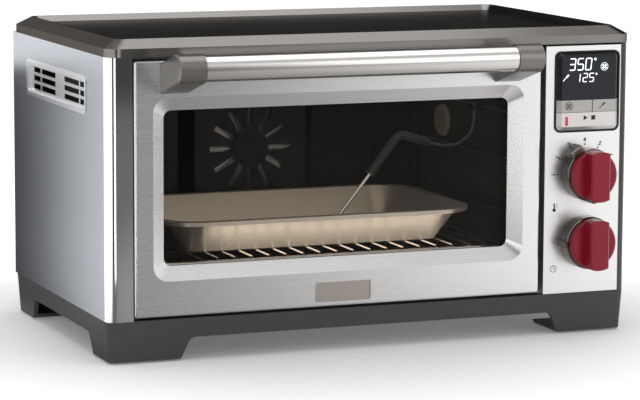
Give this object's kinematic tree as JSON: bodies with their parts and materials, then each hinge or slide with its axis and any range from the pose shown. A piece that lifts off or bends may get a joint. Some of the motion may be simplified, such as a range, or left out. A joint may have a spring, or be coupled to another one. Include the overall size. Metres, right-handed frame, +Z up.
{
  "type": "countertop convection oven",
  "caption": "Countertop convection oven with a drop-down glass door, a bar handle, a display with keys, a mode ring, dials, a wire rack, a pan and a food probe.",
  "frame": {"origin": "on the floor under the centre of the oven's box", "axes": "+X to the right along the front, +Z up; the door and the controls face -Y"},
  "size_m": [0.572, 0.4004, 0.3215],
  "materials": {
    "rubber": "matt",
    "dark_moulding": "satin",
    "stainless": "brushed",
    "polished_steel": "polished",
    "lid_enamel": "satin",
    "vent_trim": "satin",
    "plain_steel": "plain sheet",
    "cavity_steel": "dull",
    "mineral_wool": "fibrous",
    "heater_sheath": "oxidised",
    "lamp_lens": "frosted",
    "rack_chrome": "plated wire",
    "fan_aluminium": "pressed",
    "black_plastic": "moulded",
    "screen": "gloss",
    "key_metal": "satin",
    "red_lens": "clear",
    "collar_steel": "turned",
    "red_knob": "satin gloss",
    "handle_casting": "satin cast",
    "pan_enamel": "non-stick",
    "probe_grip": "satin",
    "probe_braid": "braided",
    "glass": "clear",
    "circuit_board": "lacquered"
  },
  "bodies": {
    "housing": {"rubber_feet": "rubber", "rear_spacers": "rubber", "cord_gland": "rubber", "door_gasket": "rubber", "base_frame": "dark_moulding", "left_side_panel": "stainless", "right_side_panel": "stainless", "control_panel": "stainless", "left_corner_post": "polished_steel", "right_corner_post": "polished_steel", "probe_needle": "polished_steel", "top_cover": "lid_enamel", "vent_grilles": "vent_trim", "bottom_plate": "plain_steel", "rear_panel": "plain_steel", "front_frame": "plain_steel", "divider_panel": "plain_steel", "hinge_brackets": "plain_steel", "convection_motor": "plain_steel", "encoders": "plain_steel", "cavity_left_wall": "cavity_steel", "cavity_right_wall": "cavity_steel", "cavity_floor": "cavity_steel", "cavity_roof": "cavity_steel", "cavity_back": "cavity_steel", "fan_baffle": "cavity_steel", "crumb_tray": "cavity_steel", "insulation_blanket": "mineral_wool", "upper_elements": "heater_sheath", "lower_elements": "heater_sheath", "interior_lamp": "lamp_lens", "probe_jack": "rack_chrome", "temperature_sensor": "rack_chrome", "cooling_fan_housing": "black_plastic", "display_bezel": "black_plastic", "display_screen": "screen", "time_ring": "collar_steel", "probe_handle": "probe_grip", "probe_plug": "probe_grip", "probe_cable": "probe_braid", "control_board": "circuit_board"},
    "door": {"door_panel": "stainless", "door_outer_glass": "glass", "door_inner_glass": "glass", "door_liner": "cavity_steel", "door_hinges": "plain_steel", "handle_bar": "polished_steel", "handle_brackets": "handle_casting", "badge_plate": "polished_steel"},
    "rack": {"wire_rack": "rack_chrome", "roasting_pan": "pan_enamel"},
    "conv_key": {"conv_button": "key_metal"},
    "probe_key": {"probe_button": "key_metal"},
    "start_key": {"start_button": "key_metal", "start_indicator": "red_lens"},
    "mode_selector": {"mode_ring": "collar_steel"},
    "temperature_dial": {"temperature_knob": "red_knob"},
    "time_dial": {"time_knob": "red_knob"},
    "oven_fan": {"convection_fan": "fan_aluminium"},
    "electronics_fan": {"cooling_fan_rotor": "black_plastic"}
  },
  "joints": [
    {"name": "door_hinge", "type": "hinge", "parent": "housing", "child": "door", "pos_m": [-0.0365, -0.13375, 0.0524], "axis": [1, 0, 0], "range_deg": [0, 90]},
    {"name": "rack_slide", "type": "slide", "parent": "housing", "child": "rack", "axis": [0, -1, 0], "range_m": [0, 0.064]},
    {"name": "conv_key_press", "type": "slide", "parent": "housing", "child": "conv_key", "axis": [0, 1, 0], "range_m": [0, 0.0008], "stiffness_N_per_m": 1500, "springref_m": -0.0003},
    {"name": "probe_key_press", "type": "slide", "parent": "housing", "child": "probe_key", "axis": [0, 1, 0], "range_m": [0, 0.0008], "stiffness_N_per_m": 1500, "springref_m": -0.0003},
    {"name": "start_key_press", "type": "slide", "parent": "housing", "child": "start_key", "axis": [0, 1, 0], "range_m": [0, 0.0008], "stiffness_N_per_m": 1500, "springref_m": -0.0003},
    {"name": "mode_turn", "type": "hinge", "parent": "housing", "child": "mode_selector", "pos_m": [0.2355, -0.14075, 0.1686], "axis": [0, -1, 0], "range_deg": [-90, 60]},
    {"name": "temperature_turn", "type": "hinge", "parent": "housing", "child": "temperature_dial", "pos_m": [0.2355, -0.14075, 0.1686], "axis": [0, -1, 0], "continuous": true},
    {"name": "time_turn", "type": "hinge", "parent": "housing", "child": "time_dial", "pos_m": [0.2355, -0.14075, 0.0972], "axis": [0, -1, 0], "continuous": true},
    {"name": "oven_fan_spin", "type": "hinge", "parent": "housing", "child": "oven_fan", "pos_m": [-0.0365, 0.13925, 0.175], "axis": [0, -1, 0], "continuous": true},
    {"name": "electronics_fan_spin", "type": "hinge", "parent": "housing", "child": "electronics_fan", "pos_m": [0.236, 0.16925, 0.19], "axis": [0, 1, 0], "continuous": true}
  ],
  "couplings": [
    {"joint": "rack_slide", "follows": "door_hinge", "m_per_rad": 0.04}
  ]
}
